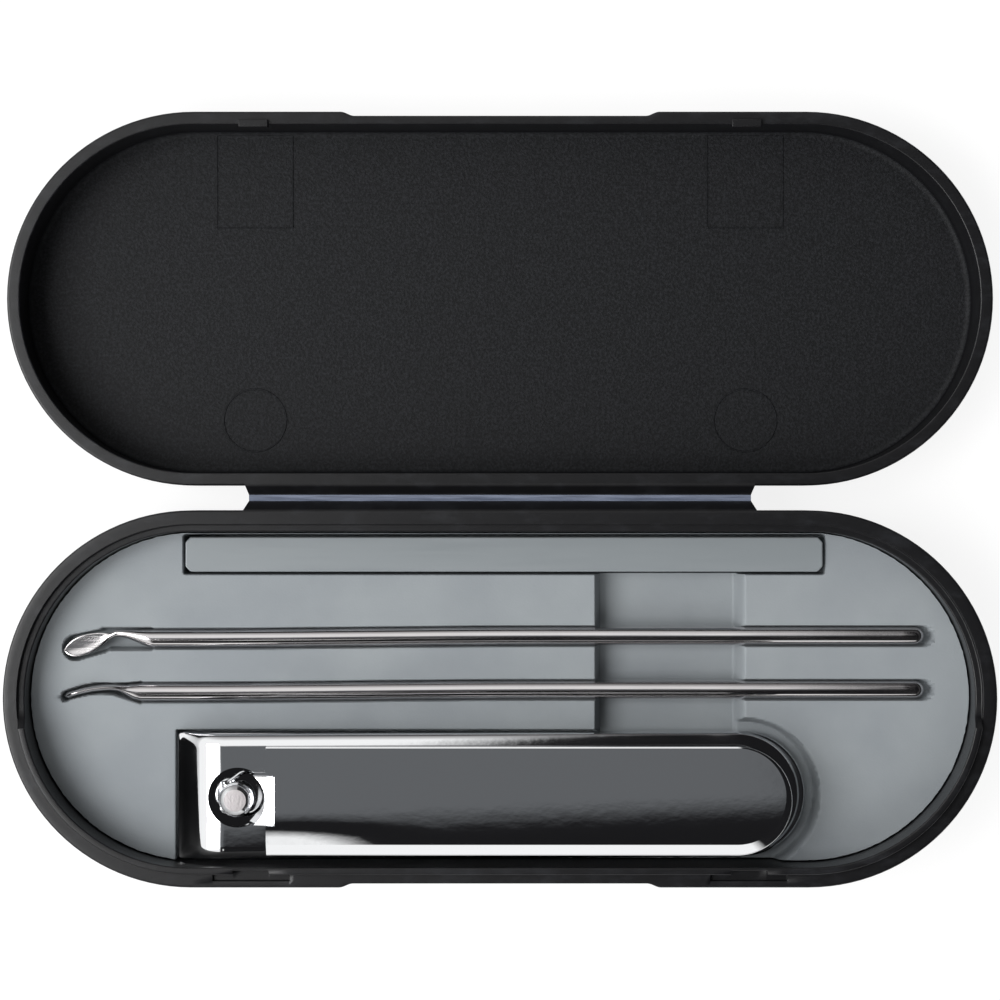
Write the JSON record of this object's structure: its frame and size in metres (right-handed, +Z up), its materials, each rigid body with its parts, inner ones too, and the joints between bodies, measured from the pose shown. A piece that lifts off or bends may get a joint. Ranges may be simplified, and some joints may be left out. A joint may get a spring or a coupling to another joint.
{
  "type": "manicure set case",
  "caption": "Hinged pocket case, half-round at both ends, with a moulded insert that holds a glass file, an ear pick, a cuticle pusher and a nail clipper with a turning lever.",
  "frame": {"origin": "on the table, under the middle of the hinge line, with the case open flat", "axes": "+X to the right along the hinge, +Y from the hinge towards the lid, +Z up"},
  "size_m": [0.096, 0.0752, 0.0127],
  "materials": {
    "case_plastic": "black injection-moulded polypropylene, satin edges and a fine eroded texture inside the lid",
    "hinge_film": "thin flexed film of the same plastic, paler and glossy where it bends",
    "insert_rubber": "matte grey moulded insert with a trimmed outer edge",
    "file_glass": "clear toughened glass bar with a finely etched filing face",
    "tool_steel": "polished stainless steel rod",
    "clipper_chrome": "bright nickel-chrome plate on pressed steel",
    "clipper_pin_chrome": "bright nickel-chrome plate on turned steel"
  },
  "bodies": {
    "base": {"case_base": "case_plastic", "insert": "insert_rubber", "hinge_film": "hinge_film"},
    "lid": {"case_lid": "case_plastic"},
    "file": {"glass_file": "file_glass"},
    "pick": {"ear_pick": "tool_steel"},
    "pusher": {"cuticle_pusher": "tool_steel"},
    "clipper": {"clipper_lower_jaw": "clipper_chrome", "clipper_rivet": "clipper_pin_chrome"},
    "upper_jaw": {"clipper_upper_jaw": "clipper_chrome"},
    "pin": {"clipper_pin": "clipper_pin_chrome"},
    "lever": {"clipper_lever": "clipper_chrome"}
  },
  "joints": [
    {"name": "lid_hinge", "type": "hinge", "parent": "base", "child": "lid", "pos_m": [0, 0, 0.00873], "axis": [-1, 0, 0], "range_deg": [-180, 0]},
    {"name": "file_lift", "type": "slide", "parent": "base", "child": "file", "axis": [0, 0, 1], "range_m": [0, 0.03]},
    {"name": "pick_lift", "type": "slide", "parent": "base", "child": "pick", "axis": [0, 0, 1], "range_m": [0, 0.03]},
    {"name": "pusher_lift", "type": "slide", "parent": "base", "child": "pusher", "axis": [0, 0, 1], "range_m": [0, 0.03]},
    {"name": "clipper_lift", "type": "slide", "parent": "base", "child": "clipper", "axis": [0, 0, 1], "range_m": [0, 0.03]},
    {"name": "jaw_flex", "type": "hinge", "parent": "clipper", "child": "upper_jaw", "pos_m": [0.02, -0.029, 0.00493], "axis": [0, -1, 0], "range_deg": [0, 1.5], "stiffness_Nm_per_rad": 20},
    {"name": "pin_turn", "type": "hinge", "parent": "clipper", "child": "pin", "pos_m": [-0.0254, -0.029, 0.0036], "axis": [0, 0, 1], "range_deg": [0, 180]},
    {"name": "lever_lift", "type": "hinge", "parent": "pin", "child": "lever", "pos_m": [-0.02635, -0.029, 0.00973], "axis": [0, -1, 0], "range_deg": [0, 150]}
  ]
}
